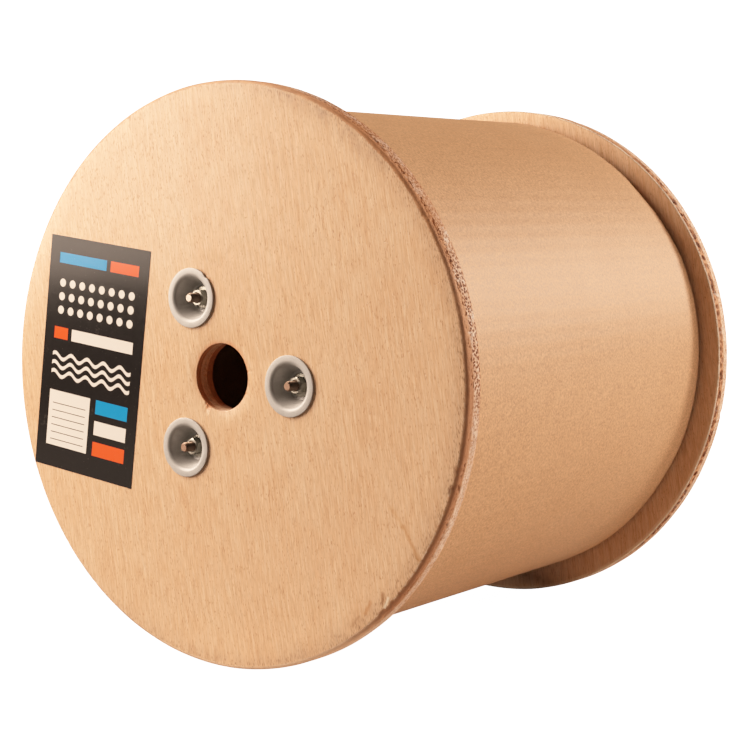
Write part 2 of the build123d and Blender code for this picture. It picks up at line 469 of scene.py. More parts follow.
flangeLook = {
    "segments": 1280,
    "rimRows": 16,
    "outerRound": 2.4 * mm,
    "innerRound": {"front": 2.4 * mm, "rear": 1.3 * mm},
    "skin": (0.1 * mm, 0.36 * mm),  # what wear has left of the face veneer at the corners, front and rear
    "boreRadius": 17.5 * mm,
    "boreRound": 0.45 * mm,
    "boreChips": [  # angle round the arbor hole, length, how far it tore outwards
        (-121.0, 3.4 * mm, 1.5 * mm),
        (-127.0, 2.2 * mm, 0.9 * mm),
        (-26.0, 1.6 * mm, 0.4 * mm),
        (12.0, 1.8 * mm, 0.4 * mm),
    ],
    "boreRows": 6,
    "faceRings": (26 * mm, 62 * mm, 100 * mm, 140 * mm),
    "grooveOuter": 64.73 * mm,
    "grooveInner": 60.43 * mm,
    "grooveDepth": 4.0 * mm,
    "cupHole": 13.28 * mm,
    "pitDepth": 0.75 * mm,
    "pitSpacing": 4.3 * mm,  # the row of open voids along the rear rim
    "pitLength": 1.75 * mm,
    "pitHeight": 1.35 * mm,
    "pitRow": 3.1 * mm,
    "wavyRim": 0.25 * mm,
    "edgeChips": 0.26 * mm,
    "edgeWidth": 1.8 * mm,
    "chipReach": 3.5 * mm,
    "wornWidth": 3.3 * mm,  # only this much of the disc is worn out of shape
    "namedChips": [  # flange end, angle round the rim, length, depth
        ("front", -47.0, 6.0 * mm, 1.3 * mm),
        ("front", -44.0, 3.0 * mm, 1.0 * mm),
        ("front", -41.5, 2.0 * mm, 0.8 * mm),
        ("front", -14.5, 3.0 * mm, 0.9 * mm),
        ("front", -17.8, 2.5 * mm, 0.8 * mm),
        ("front", 33.0, 4.5 * mm, 0.6 * mm),
        ("rear", 71.0, 6.0 * mm, 0.8 * mm),
        ("rear", -12.0, 5.0 * mm, 0.7 * mm),
        ("rear", 152.0, 7.0 * mm, 1.0 * mm),
    ],
    "grainLean": 9.0,
    "marks": [  # start and end on the front face (x, z), width, strength, colour
        ((108 * mm, -58 * mm), (115 * mm, -67 * mm), 1.6 * mm, 0.40, (0.50, 0.25, 0.10)),
        ((115 * mm, -67 * mm), (125 * mm, -82 * mm), 1.9 * mm, 0.60, (0.46, 0.22, 0.085)),
        ((-9 * mm, 63 * mm), (-3 * mm, 62 * mm), 4.5 * mm, 0.30, (0.52, 0.30, 0.15)),
        ((103.5 * mm, -101 * mm), (102.5 * mm, -106 * mm), 1.2 * mm, 0.75, (0.22, 0.10, 0.045)),
        ((105.8 * mm, -103 * mm), (104.6 * mm, -108 * mm), 1.1 * mm, 0.80, (0.92, 0.78, 0.60)),
        ((96 * mm, -106 * mm), (93 * mm, -112 * mm), 1.6 * mm, 0.60, (0.48, 0.21, 0.08)),
        ((88 * mm, -114 * mm), (85 * mm, -119 * mm), 1.3 * mm, 0.50, (0.30, 0.16, 0.08)),
        ((145.9 * mm, -37 * mm), (145.4 * mm, -40 * mm), 1.5 * mm, 0.85, (0.13, 0.06, 0.03)),
        ((142.9 * mm, -45.5 * mm), (142.2 * mm, -48.5 * mm), 1.5 * mm, 0.85, (0.13, 0.06, 0.03)),
        ((-10.4 * mm, -16.0 * mm), (-8.6 * mm, -17.0 * mm), 1.3 * mm, 0.85, (0.60, 0.20, 0.08)),
        ((42 * mm, 40 * mm), (41 * mm, 47 * mm), 1.0 * mm, 0.35, (0.48, 0.26, 0.12)),
        ((86 * mm, 28 * mm), (88 * mm, 22 * mm), 1.1 * mm, 0.35, (0.48, 0.26, 0.12)),
    ],
    "ramps": {
        "veneer": [(0.3, (0.695, 0.408, 0.240)), (0.5, (0.720, 0.447, 0.275)), (0.7, (0.750, 0.492, 0.318))],
        "streaks": [(0.0, (0.54, 0.296, 0.154)), (0.5, (0.720, 0.447, 0.275)), (1.0, (0.85, 0.600, 0.408))],
        "frontPlies": [  # from the outer face inwards
            (0.00, (0.64, 0.39, 0.24)), (0.015, (0.60, 0.34, 0.20)), (0.040, (0.55, 0.29, 0.165)),
            (0.20, (0.56, 0.29, 0.165)), (0.36, (0.58, 0.31, 0.18)), (0.42, (0.72, 0.49, 0.36)),
            (0.52, (0.80, 0.61, 0.50)), (0.80, (0.80, 0.60, 0.48)), (0.86, (0.60, 0.30, 0.16)),
            (0.90, (0.76, 0.50, 0.34)), (1.0, (0.78, 0.53, 0.37))],
        "rearPlies": [  # from the inner face outwards
            (0.00, (0.95, 0.84, 0.70)), (0.080, (0.95, 0.84, 0.70)), (0.100, (0.30, 0.13, 0.065)),
            (0.14, (0.62, 0.33, 0.19)), (0.46, (0.66, 0.36, 0.21)), (0.54, (0.84, 0.65, 0.53)),
            (0.80, (0.88, 0.72, 0.60)), (0.83, (0.62, 0.36, 0.22)), (0.87, (0.84, 0.65, 0.52)),
            (1.0, (0.84, 0.65, 0.51))],
        "borePlies": [
            (0.0, (0.46, 0.18, 0.08)), (0.24, (0.42, 0.16, 0.07)), (0.30, (0.66, 0.39, 0.24)),
            (0.62, (0.62, 0.35, 0.21)), (0.68, (0.36, 0.13, 0.06)), (1.0, (0.40, 0.15, 0.07))],
    },
    "colours": {
        "pore": (0.38, 0.185, 0.085),
        "grime": (0.33, 0.225, 0.155),
        "dashes": (0.20, 0.115, 0.065),
        "paleEdgeLine": (0.88, 0.68, 0.50),
        "paintedShadeFoot": (0.07, 0.03, 0.013),
        "raw": (0.60, 0.31, 0.155),
        "pit": (0.10, 0.03, 0.012),
        "speck": (0.42, 0.17, 0.07),
        "redRing": (0.50, 0.20, 0.085),
        "hole": (0.12, 0.036, 0.014),
        "stain": (0.50, 0.215, 0.09),
        "brown": (0.34, 0.145, 0.07),
        "paleRim": (0.92, 0.72, 0.55),
        "worn": (0.90, 0.79, 0.71),
        "drillDust": (0.66, 0.22, 0.09),
    },
    "sides": {  # angles round the rim: where each begins, is full, still holds and ends
        "smeared": (38, 50, 74, 92),
        "below": (-128, -108, -62, -44),
        "paintedShadeFoot": (-150, -135, -97, -68),
        "forward": (12, 24, 60, 72),
        "fineHoles": (-14, 4, 66, 78),
        "wideHoles": (-75, -50, 48, 64),
        "stain": (22, 32, 54, 66),
        "brown": (-56, -44, 2, 14),
        "paleTopRim": (72, 90, 118, 140),
        "paintedLitFoot": (-120, -95, -62, -46),
        "worn": (4, 12, 27, 34),
    },
}


def makePlywood(look):
    material, shader, place = newMaterial("plywood")
    ramps, colours = look["ramps"], look["colours"]
    axes = axesOf(place)
    rear = calc("GREATER_THAN", axes["Y"], 0.0)
    front = outsideOf(rear)
    depth = minus(plus(axes["Y"], outerFace), times(rear, outerFace + innerFace))
    radius = fromMiddle(axes["X"], axes["Z"])
    turned = calc("ARCTAN2", axes["Z"], axes["X"])
    shallow = calc("LESS_THAN", depth, 1.0 * mm)

    def side(name):
        return between(turned, *look["sides"][name])

    # face veneer, rotary cut, with its grain a little off upright
    lean = {"Vector": place, "Angle": radians(look["grainLean"])}
    leaning = addNode("VectorRotate", lean, rotation_type="Y_AXIS").outputs[0]
    grain = useGroup(grainGroup, Vector=leaning, Across=1250.0, Along=75.0, Wander=0.004)
    broad = drawnNoise(leaning, (60.0, 60.0, 22.0), 3.0, 0.6)
    veneer = colourRamp(broad, ramps["veneer"])
    streaks = colourRamp(span(grain["Streak"], 0.3, 0.7), ramps["streaks"])
    veneer = mixColour(0.48, veneer, streaks)
    veneer = shadeBy(veneer, span(grain["Fibre"], 0.3, 0.7, 0.88, 1.11))
    pore = span(grain["Dash"], 0.69, 0.78, 0.0, 0.6)
    veneer = mixColour(pore, veneer, colours["pore"])

    # dirt rubbed in along the rim, most on the side that the drum was rolled on
    nearRim = span(radius, rimRadius - 18 * mm, rimRadius - 2 * mm)
    closeRim = span(radius, rimRadius - 10 * mm, rimRadius - 2 * mm)
    rubbed = span(radius, rimRadius - 3.2 * mm, rimRadius - 2.4 * mm)
    thin = span(radius, rimRadius - 2.4 * mm, rimRadius - 1.9 * mm)
    rolled = span(axes["X"], -20 * mm, 90 * mm, 0.12, 1.0)
    below = side("below")
    soil = noiseAt(place, 110.0, 4.0, 0.65)
    where = plus(times(rolled, 0.42), times(side("smeared"), 0.4))
    where = plus(where, times(below, 0.34))
    grime = times(calc("POWER", nearRim, 2.0), span(soil, 0.25, 0.7), where,
                  fade(rear, 1.0, 0.2), fade(rubbed, 1.0, 0.5))
    veneer = mixColour(grime, veneer, colours["grime"])
    where = calc("MAXIMUM", rolled, times(below, 0.9))
    dashes = times(span(grain["Dash"], 0.57, 0.67), calc("POWER", closeRim, 1.6),
                   where, front, fade(rubbed, 0.75, 0.6))  # splinters that hold more dirt
    veneer = mixColour(dashes, veneer, colours["dashes"])
    # a thin paler line along the face's edge, strongest low down
    paleEdgeLine = times(thin, span(soil, 0.35, 0.6, 0.2, 0.6), span(axes["Z"], -75 * mm, -25 * mm, 1.0, 0.1))
    veneer = mixColour(paleEdgeLine, veneer, colours["paleEdgeLine"])

    # painted shadow: the rear flange's inner face is painted near black low down, where it stands
    veneer = mixColour(times(side("paintedShadeFoot"), rear, shallow, 0.9), veneer, colours["paintedShadeFoot"])

    # cracks, stains and splits on the front face
    flat = addNode("CombineXYZ", {"X": axes["X"], "Y": 0.0, "Z": axes["Z"]}).outputs[0]
    wobble = addNode("TexNoise", {"Vector": flat, "Scale": 160.0, "Detail": 3.0})
    wobble = vectorCalc("SUBTRACT", wobble.outputs["Color"], (0.5, 0.5, 0.5))
    flat = vectorCalc("ADD", flat, vectorCalc("MULTIPLY", wobble, (4 * mm, 0.0, 4 * mm)))
    frontFace = times(shallow, front)
    for (startX, startZ), (endX, endZ), width, strength, colour in look["marks"]:
        ends = {"Start": (startX, 0, startZ), "End": (endX, 0, endZ)}
        mark = useGroup(markGroup, Vector=flat, Width=width, **ends)
        veneer = mixColour(times(mark["Mask"], strength, frontFace), veneer, colour)

    # plies that show on the rim and in the bore, the front flange's and the rear one's
    sway = span(noiseAt(place, 90.0, 4.0, 0.6), 0.0, 1.0, -0.05, 0.05)
    layer = plus(calc("DIVIDE", depth, boardThick), sway)
    frontPlies = colourRamp(layer, ramps["frontPlies"])
    plies = mixColour(rear, frontPlies, colourRamp(layer, ramps["rearPlies"]))
    blotch = drawnNoise(place, (330.0, 520.0, 330.0), 3.0, 0.65)
    raw = times(span(blotch, 0.42, 0.58), span(layer, 0.2, 0.3, 0.2, 0.45))
    plies = mixColour(raw, plies, colours["raw"])
    inBore = calc("LESS_THAN", radius, look["boreRadius"] + 1 * mm)
    onRim = outsideOf(inBore)
    plies = mixColour(inBore, plies, colourRamp(layer, ramps["borePlies"]))
    bandLines = drawnNoise(place, (110.0, 950.0, 110.0), 3.0, 0.7)
    plies = shadeBy(plies, span(bandLines, 0.3, 0.7, 0.68, 1.25))
    # painted shade: the pits dug into the rim are painted near black inside
    pits = addNode("Attribute", attribute_name="pits").outputs["Fac"]
    plies = mixColour(times(pits, 0.95), plies, colours["pit"])
    specks = drawnNoise(place, (950.0, 800.0, 950.0), 2.0, 0.6)
    speckled = plus(span(layer, 0.35, 0.5, 0.25, 0.6), times(rear, 0.15))
    speckled = times(speckled, span(specks, 0.52, 0.60))
    plies = mixColour(speckled, plies, colours["speck"])

    # broken core: fine holes round the front rim, a row of wide ones in one ply of the rear rim, their
    # near-black insides painted shade
    rolledOut = addNode("CombineXYZ", {"X": times(turned, rimRadius), "Y": depth})
    cells = {"Vector": rolledOut.outputs[0], "Scale": fade(rear, 640.0, 255.0)}
    holes = addNode("TexVoronoi", cells, voronoi_dimensions="2D").outputs["Distance"]
    forward = fade(side("forward"), 0.36, 0.12)
    fine = times(span(minus(layer, forward), 0.0, 0.1), span(layer, 0.90, 0.97, 1.0, 0.0), side("fineHoles"))
    wide = times(span(layer, 0.10, 0.16), span(layer, 0.42, 0.50, 1.0, 0.0), side("wideHoles"))
    patchy = span(noiseAt(place, 17.0, 2.0), 0.36, 0.54, 0.5, 1.0)
    core = times(fade(rear, fine, wide), patchy, onRim)
    ragged = plus(holes, span(specks, 0.3, 0.7, -0.1, 0.1))
    ragged = minus(ragged, times(rear, 0.08))
    redRing = times(span(ragged, 0.38, 0.55, 0.6, 0.0), core)
    plies = mixColour(redRing, plies, colours["redRing"])
    holes = times(span(ragged, 0.26, 0.38, 1.0, 0.0), core)
    plies = mixColour(times(holes, 0.95), plies, colours["hole"])

    # stained high on the right, brown lower down, a little paler at the top, painted light low on the rim,
    # and rubbed pale in patches that crowd where the side light falls, there partly a painted highlight
    plies = mixColour(times(side("stain"), front, 0.5), plies, colours["stain"])
    brown = times(side("brown"), front, span(layer, 0.32, 0.44, 1.0, 0.0),
                  span(layer, 0.01, 0.06, 0.2, 0.62))
    plies = mixColour(brown, plies, colours["brown"])
    # painted light: the lower rim is painted paler as if lit from below, and the top of the rim a little
    # paler too
    paleRim = plus(times(side("paleTopRim"), 0.25), side("paintedLitFoot"))
    plies = mixColour(times(paleRim, 0.5), plies, colours["paleRim"])
    # pale patches all round the rim, crowded where the side light falls on the right, there partly a painted
    # highlight
    worn = useGroup(scuffGroup, Vector=place, Scale=62.0, Cover=0.47)["Mask"]
    worn = times(worn, span(layer, 0.16, 0.3), onRim, fade(side("worn"), 0.25, 0.8))
    plies = mixColour(worn, plies, colours["worn"])

    # red dust off the drill round the upper side of the arbor hole
    dusty = span(radius, look["boreRadius"], look["boreRadius"] + 2.6 * mm, 0.75, 0.0)
    dusty = times(dusty, span(axes["Z"], -2 * mm, 14 * mm, 0.25, 1.0), span(soil, 0.3, 0.6))
    veneer = mixColour(dusty, veneer, colours["drillDust"])

    # the veneer is only the skin of the two flat faces
    fray = span(noiseAt(place, 520.0, 3.0, 0.6), 0.3, 0.7, 0.6, 1.5)
    fray = calc("POWER", fray, fade(rear, 3.0, 1.0))
    skin = times(fray, fade(rear, *look["skin"]))
    fromFaces = calc("MINIMUM", depth, minus(boardThick, depth))
    inside = calc("GREATER_THAN", fromFaces, skin)
    gloss = span(grain["Streak"], 0.3, 0.7, 0.20, 0.27)
    dull = calc("ADD", gloss, times(inside, 0.45), clamp=True)
    finishShader(shader, mixColour(inside, veneer, plies), dull, specular=0.22)
    relief = minus(times(plus(grain["Streak"], grain["Fibre"]), 0.14), pore)
    torn = minus(times(plus(specks, bandLines), 1.8), times(holes, 3.0))
    height = plus(relief, times(minus(torn, relief), inside))
    bumpInto(shader, height, 0.14 * mm, 0.8)
    return material


def flangeRings(look, end):
    far = -boardThick
    outer, inner, bore = look["outerRound"], look["innerRound"][end], look["boreRound"]
    wall = look["boreRadius"]
    rings = roundCorner(wall + bore, -bore, bore, 180, 90, 3)
    rings += [(ring, 0) for ring in look["faceRings"]]
    rings += roundCorner(rimRadius - outer, -outer, outer, 90, 0, 6)
    rows = look["rimRows"]
    for row in range(1, rows):
        rings.append((rimRadius, -outer + (far + inner + outer) * row / rows))
    rings += roundCorner(rimRadius - inner, far + inner, inner, 0, -90, 5)
    rings += [(ring, far) for ring in reversed(look["faceRings"][2:])]
    rings += [(look["grooveOuter"], far), (look["grooveOuter"], far + look["grooveDepth"]),
              (look["grooveInner"], far + look["grooveDepth"]), (look["grooveInner"], far)]
    rings += [(look["faceRings"][0], far)]
    rings += roundCorner(wall + bore, far + bore, bore, 270, 180, 3)
    for row in range(1, look["boreRows"]):
        rings.append((wall, far + bore - (far + 2 * bore) * row / look["boreRows"]))
    return rings


# open voids in one core ply of the rear rim, close together where the drum faces the right
def voidRow(look, along, depth, angle):
    deepest = 0.0
    cell = floor(along / look["pitSpacing"])
    for number in (cell - 1, cell, cell + 1):
        pick = Vector((number * 0.37, number * 0.71, 4.4))
        shift, drop, size = noise.noise(pick), noise.noise(pick * 1.7), 0.9 + noise.noise(pick * 2.3)
        facing = max(0.0, 1 - abs(angle - radians(4)) / radians(62))
        size *= min(1.0, 0.25 + 1.5 * facing)
        size = max(0.2, size)
        run = (along - (number + 0.5 + 0.55 * shift) * look["pitSpacing"]) / (look["pitLength"] * size)
        height = (depth - look["pitRow"] - 0.8 * mm * drop) / (look["pitHeight"] * size)
        deepest = max(deepest, min(1.0, 1.9 * (1 - hypot(run, height))))
    return deepest


# wear of the rim: a wavering outline, open pits in the core plies and chips off the edges
def wearRim(obj, look, end):
    mesh = obj.data
    pits = mesh.attributes.new("pits", "FLOAT", "POINT")
    seed = Vector((3.1, 7.7, 1.3)) if end == "front" else Vector((11.9, 2.3, 8.1))
    chips = [chip[1:] for chip in look["namedChips"] if chip[0] == end]
    boreEdge = look["boreRadius"] + 2 * look["boreRound"]
    for index, vertex in enumerate(mesh.vertices):
        point = vertex.co
        radius = hypot(point.x, point.z)
        angle = atan2(point.z, point.x)
        if end == "front" and radius < boreEdge and point.y < 0.4 * mm - outerFace:
            vertex.co = point + tearBore(look, angle)
        if radius < rimRadius - look["wornWidth"]:
            continue
        out = Vector((cos(angle), 0, sin(angle)))
        depth = point.y + outerFace if end == "front" else point.y - innerFace
        layer = depth / boardThick
        if end == "front":  # pits strewn over the core, most of them high on the right
            inCore = max(0.0, 1 - abs(layer - 0.30) / 0.19)
            beat = noise.noise(Vector((out.x, out.z, layer * 0.5)) * 75 + seed)
            patchy = 0.6 - 0.6 * out.x * max(0.0, out.z + 0.25) + 0.4 * noise.noise(out * 4.0 + seed * 3)
            pit = max(0.0, min(1.0, (beat - 0.14 - 0.2 * patchy) * 5.0)) * inCore
        else:
            pit = voidRow(look, angle * rimRadius, depth, angle)
        wave = 0.5 + 0.5 * noise.noise(out * 9 + seed * 2)
        nearEdge = max(0.0, 1 - min(depth, boardThick - depth) / look["edgeWidth"])
        ragged = max(0.0, noise.noise(Vector((out.x, out.z, layer)) * 110 - seed) - 0.08)
        push = look["pitDepth"] * pit + look["wavyRim"] * wave
        push += look["edgeChips"] * nearEdge * ragged * 2.2
        outside = (depth if end == "front" else boardThick - depth) / look["chipReach"]
        for chipAngle, length, chipDepth in chips:
            reach = turnTo(angle, chipAngle) * rimRadius / (length / 2)
            if reach < 1 and outside < 1:
                push += chipDepth * (1 - reach) ** 0.5 * (1 - outside)
        vertex.co = point - out * push
        pits.data[index].value = pit


def tearBore(look, angle):  # splinters torn off the edge of the arbor hole
    torn = 0.0
    for chipAngle, length, depth in look["boreChips"]:
        reach = turnTo(angle, chipAngle) * look["boreRadius"] / (length / 2)
        torn = max(torn, depth * (1 - reach) ** 0.6) if reach < 1 else torn
    ragged = 0.12 * mm * max(0.0, noise.noise(Vector((cos(angle), 0.2, sin(angle))) * 14))
    return Vector((cos(angle), 0, sin(angle))) * (torn + ragged)


def makeFlange(look, end, material):
    flange = turnRings(end + "Flange", look["segments"], flangeRings(look, end))
    flange.location.y = -outerFace if end == "front" else innerFace
    makeActive(flange)
    bpy.ops.object.transform_apply(location=True, rotation=True, scale=True)
    if end == "rear":  # groove side turned to the drum's middle
        back = Matrix.Translation((0, innerFace + outerFace, 0))
        flange.matrix_world = back @ Matrix.Rotation(pi, 4, "X")
        bpy.ops.object.transform_apply(location=True, rotation=True, scale=True)
    for number in (1, 2, 3):
        low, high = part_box(f"{end}_cup_washer_{number}")
        middle = (low + high) / 2
        startClean()
        bpy.ops.mesh.primitive_cylinder_add(vertices=96, radius=look["cupHole"], depth=4 * boardThick,
                                            location=middle, rotation=(radians(90), 0, 0))
        cutWith(flange, bpy.context.object)
    wearRim(flange, look, end)
    smoothOver(flange, 40)
    finishPiece(flange, material, end + "_flange")
    return flange


plywood = makePlywood(flangeLook)
for end in ("front", "rear"):
    makeFlange(flangeLook, end, plywood)
print("flanges ready")


# hardware: cup washers, plain washers, nuts and threaded rods

cupLook = {
    "segments": 96,
    "gauge": 1.2 * mm,
    "floorRadius": 7.6 * mm,
    "mouthRadius": 11.4 * mm,
    "bendUnder": 1.2 * mm,
    "edgeRound": 0.32 * mm,
    "floorRound": 1.1 * mm,
    "bore": 2.75 * mm,
    "dents": [  # node, angle round the rim, length, push towards the middle
        ("front_cup_washer_2", 48.0, 3.6 * mm, 0.75 * mm),
        ("front_cup_washer_3", 226.0, 5.0 * mm, 0.35 * mm),
        ("rear_cup_washer_1", 130.0, 4.0 * mm, 0.5 * mm),
    ],
    "coat": [(0.3, (0.53, 0.53, 0.52)), (0.7, (0.60, 0.60, 0.59))],
    "scuffed": (0.20, 0.165, 0.13),
}


def makeCupSteel(look):
    material, shader, place = newMaterial("cupSteel")
    cloud = noiseAt(place, 160.0, 4.0, 0.6)
    grit = noiseAt(place, 2600.0, 2.0)
    coat = colourRamp(cloud, look["coat"])
    coat = shadeBy(coat, span(grit, 0.3, 0.7, 0.9, 1.06))
    along = calc("ABSOLUTE", axesOf(place)["Y"])
    paintedBowlLift = span(along, outerFace - 0.4 * mm, outerFace + 0.5 * mm, 1.0, 0.74)  # painted light: the rim is painted darker than the bowl, so the bowl shows lighter in its shade
    coat = shadeBy(coat, paintedBowlLift)
    worn = useGroup(scuffGroup, Vector=place, Scale=210.0, Cover=0.22)
    coat = mixColour(times(worn["Mask"], 0.5), coat, look["scuffed"])
    finishShader(shader, coat, span(cloud, 0.3, 0.7, 0.42, 0.52), specular=0.35, metallic=0.25)
    bumpInto(shader, plus(grit, cloud), 0.03 * mm, 0.6)
    return material


def cupRings(look):
    low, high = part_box("front_cup_washer_1")
    rimOut = (high.x - low.x) / 2
    gauge, edge, fillet, bore = look["gauge"], look["edgeRound"], look["floorRound"], look["bore"]
    deep = high.y - low.y - gauge
    floorTop = gauge - deep
    lean = atan2(deep, look["mouthRadius"] - look["floorRadius"])
    bend = look["bendUnder"] + gauge
    start = look["mouthRadius"] + bend * tan(lean / 2)
    leanAngle = lean * 180 / pi
    filletAt = look["floorRadius"] - fillet * tan(lean / 2)
    underFloor = look["floorRadius"] + gauge * tan(lean / 2)
    underAt = underFloor - fillet * tan(lean / 2)
    rings = roundCorner(rimOut - edge, gauge - edge, edge, 0, 90, 4)
    rings += roundCorner(start, gauge - bend, bend, 90, 90 + leanAngle, 9)
    rings += roundCorner(filletAt, floorTop + fillet, fillet, leanAngle - 90, -90, 5)
    rings += [(bore + 0.2 * mm, floorTop), (bore, floorTop - 0.2 * mm), (bore, floorTop - gauge)]
    rings += roundCorner(underAt, floorTop - gauge + fillet, fillet, -90, leanAngle - 90, 5)
    rings += roundCorner(start, gauge - bend, look["bendUnder"], 90 + leanAngle, 90, 6)
    rings += [(rimOut - edge * 0.5, 0)]
    return rings


def dentRim(obj, middle, angle, length, push):  # a knock that folds a bit of the rim inwards
    out = Vector((cos(radians(angle)), 0, sin(radians(angle))))
    rimOut = max(hypot(v.co.x - middle.x, v.co.z - middle.z) for v in obj.data.vertices)
    knock = middle + out * rimOut
    for vertex in obj.data.vertices:
        near = Vector((vertex.co.x - knock.x, 0, vertex.co.z - knock.z)).length / (length / 2)
        if near < 1 and hypot(vertex.co.x - middle.x, vertex.co.z - middle.z) > rimOut - 1.2 * mm:
            vertex.co -= out * push * (1 - near * near)


zincLook = {
    "plate": [(0.3, (0.30, 0.29, 0.25)), (0.7, (0.48, 0.47, 0.42))],
    "tarnish": (0.15, 0.085, 0.055),
    "rust": (0.16, 0.08, 0.045),
    "sawnDepth": 0.12 * mm,
    "kinds": {  # how tarnished, how rusty, colour of the sawn ends
        "brightZinc": (0.0, 0.12, None),
        "tarnishedRod": (0.8, 0.5, (0.30, 0.19, 0.14)),
        "rodZinc": (0.75, 0.4, (0.40, 0.35, 0.30)),
    },
}


def makeZinc(look, name):
    tarnished, rusty, endColour = look["kinds"][name]
    material, shader, place = newMaterial(name)
    cloud = noiseAt(place, 420.0, 3.0, 0.6)
    fine = noiseAt(place, 3000.0, 2.0)
    plate = colourRamp(cloud, look["plate"])
    plate = mixColour(tarnished, plate, look["tarnish"])
    worn = useGroup(scuffGroup, Vector=place, Scale=330.0, Cover=rusty)
    plate = mixColour(times(worn["Mask"], 0.6), plate, look["rust"])
    if endColour:  # the sawn ends stay brighter than the threads
        along = calc("ABSOLUTE", axesOf(place)["Y"])
        sawn = calc("GREATER_THAN", along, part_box("tie_rod_1")[1].y - look["sawnDepth"])
        plate = mixColour(sawn, plate, endColour)
    finishShader(shader, plate, span(cloud, 0.3, 0.7, 0.26, 0.42), metallic=1.0)
    bumpInto(shader, fine, 0.015 * mm, 0.6)
    return material


washerLook = {"segments": 72, "bore": 2.65 * mm, "edgeRound": 0.22 * mm}


def washerRings(look):
    low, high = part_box("front_plain_washer_1")
    rim = (high.x - low.x) / 2
    thick = high.y - low.y
    edge, bore = look["edgeRound"], look["bore"]
    rings = roundCorner(rim - edge, thick - edge, edge, 0, 90, 3)
    rings += roundCorner(bore + edge, thick - edge, edge, 90, 180, 3)
    rings += [(bore, 0), (rim - 0.5 * edge, 0), (rim, 0.5 * edge)]
    return rings


nutLook = {
    "flats": 8.0 * mm,
    "chamferAngle": 30.0,
    "chamferInside": 0.2 * mm,
    "bore": 2.6 * mm,
    "countersink": 0.4 * mm,
    "turns": (14.0, 31.0, 4.0),
}


def makeNut(look):
    low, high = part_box("front_nut_1")
    tall = high.y - low.y
    corner = look["flats"] / 2 / cos(radians(30))
    startClean()
    bpy.ops.mesh.primitive_cylinder_add(vertices=6, radius=corner, depth=tall, location=(0, -tall / 2, 0),
                                        rotation=(radians(90), 0, 0))
    nut = bpy.context.object
    nut.name = "hexNut"
    bpy.ops.object.transform_apply(location=True, rotation=True, scale=True)
    turned = look["flats"] / 2 - look["chamferInside"]
    drop = (corner - turned) * tan(radians(look["chamferAngle"]))
    bore, sink = look["bore"], look["countersink"]
    envelope = turnRings("nutEnvelope", 96, [
        (bore, sink), (bore + sink, 0), (turned, 0), (corner, drop), (corner + 0.2 * mm, tall / 2),
        (corner, tall - drop), (turned, tall), (bore + sink, tall), (bore, tall - sink)])
    cutWith(nut, envelope, "INTERSECT")
    return nut


rodLook = {
    "pitch": 0.8 * mm,
    "threadDeep": 0.46 * mm,
    "steps": 20,
    "chamfer": 0.65 * mm,
}


def makeRod(look):  # threaded right along, ends cut off square and chamfered
    low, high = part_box("tie_rod_1")
    reach = high.y
    crest = (high.x - low.x) / 2
    pitch = look["pitch"]
    root = crest - look["threadDeep"]
    turns = int(2 * reach / pitch) + 5
    startClean()
    bpy.ops.mesh.primitive_plane_add(size=pitch)
    rod = bpy.context.object
    rod.name = "threadedRod"
    bpy.ops.object.mode_set(mode="EDIT")
    bpy.ops.mesh.delete(type="ONLY_FACE")
    mesh = bmesh.from_edit_mesh(rod.data)
    for edge in mesh.edges:
        edge.select_set(all(v.co.x > 0 for v in edge.verts))
    bpy.ops.mesh.delete(type="EDGE")
    mesh = bmesh.from_edit_mesh(rod.data)
    for vertex in mesh.verts:  # two roots and the flat crest between them
        side = -1 if vertex.co.y < 0 else 1
        if vertex.co.x > 0:
            vertex.co = (root, side * pitch / 2, 0)
        else:
            vertex.co = (crest, side * pitch * 0.07, 0)
    bpy.ops.object.mode_set(mode="OBJECT")
    rod.location.y = -reach - 2 * pitch
    bpy.ops.object.transform_apply(location=True, rotation=True, scale=True)
    applyModifier(rod, "SCREW", axis="Y", angle=2 * pi, screw_offset=pitch, iterations=turns,
                  steps=look["steps"], render_steps=look["steps"], use_merge_vertices=True,
                  merge_threshold=0.002 * mm)
    bpy.ops.object.mode_set(mode="EDIT")
    for side in (-1, 1):
        bpy.ops.mesh.select_all(action="SELECT")
        bpy.ops.mesh.bisect(plane_co=(0, side * reach, 0), plane_no=(0, side, 0), use_fill=True,
                            clear_outer=True, threshold=0.001 * mm)
    bpy.ops.mesh.select_all(action="SELECT")
    bpy.ops.mesh.normals_make_consistent(inside=False)
    bpy.ops.object.mode_set(mode="OBJECT")
    for vertex in rod.data.vertices:  # chamfered ends
        radius = hypot(vertex.co.x, vertex.co.z)
        limit = crest - look["chamfer"] + reach - abs(vertex.co.y)
        if radius > limit:
            vertex.co.x *= limit / radius
            vertex.co.z *= limit / radius
    return rod


